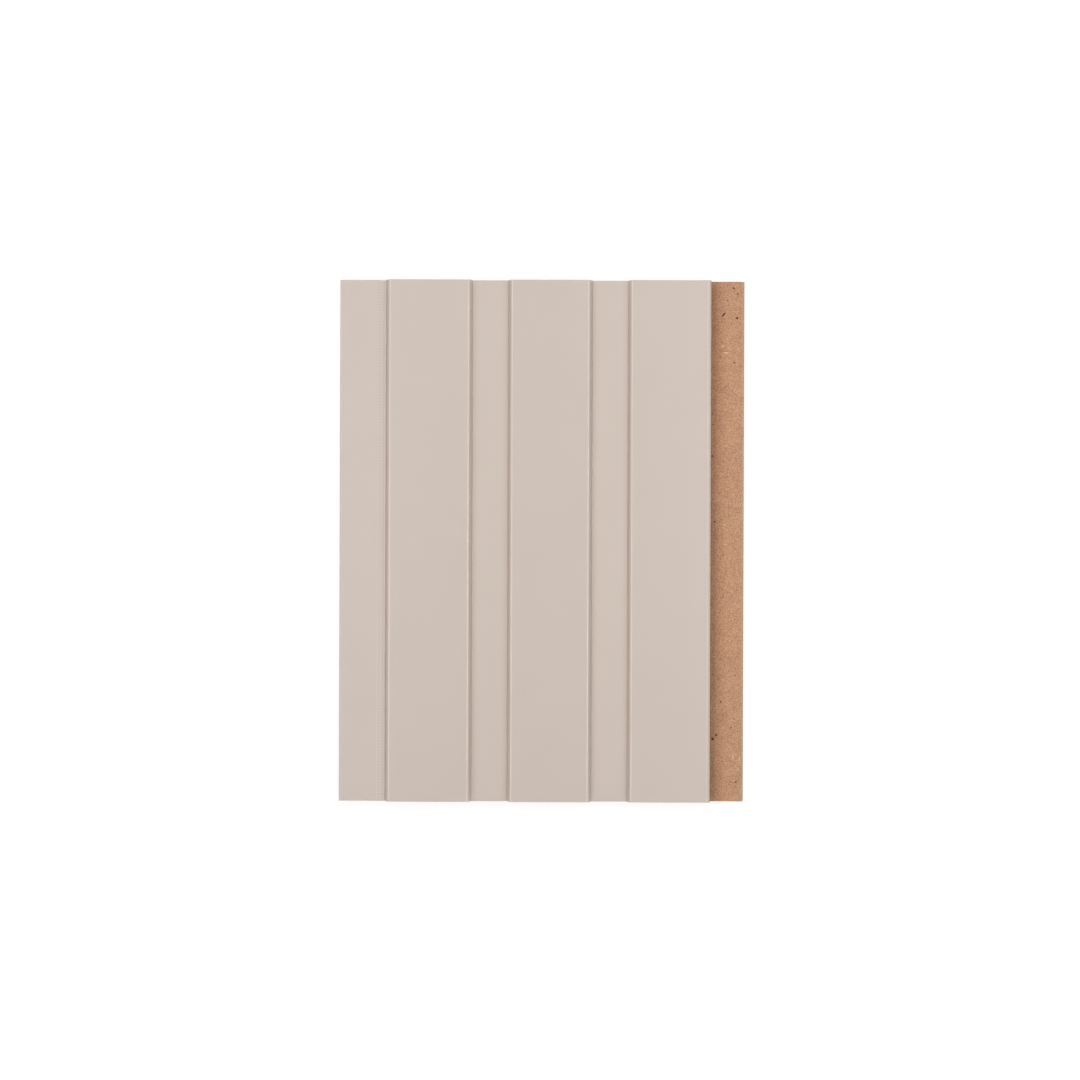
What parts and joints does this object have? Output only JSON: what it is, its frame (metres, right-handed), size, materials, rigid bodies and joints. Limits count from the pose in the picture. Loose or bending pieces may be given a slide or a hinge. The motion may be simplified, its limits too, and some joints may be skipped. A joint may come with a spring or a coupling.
{
  "type": "mdf wall panel",
  "caption": "Cut length of painted, slatted fibreboard wall panelling: raised battens with recesses between, a lapping lip on one edge and a bare nailing flange with a groove on the other.",
  "frame": {"origin": "middle of the panel's footprint, on the plane of its back", "axes": "+X across the battens, from the lip towards the bare flange; +Y along the battens; +Z out of the painted face"},
  "size_m": [0.233, 0.3, 0.016],
  "materials": {
    "painted_mdf": "satin greige paint on the face and the lip; bare brown fibreboard on the flange, the groove, the sawn ends and the back"
  },
  "bodies": {
    "root": {"wall_panel": "painted_mdf"}
  },
  "joints": []
}
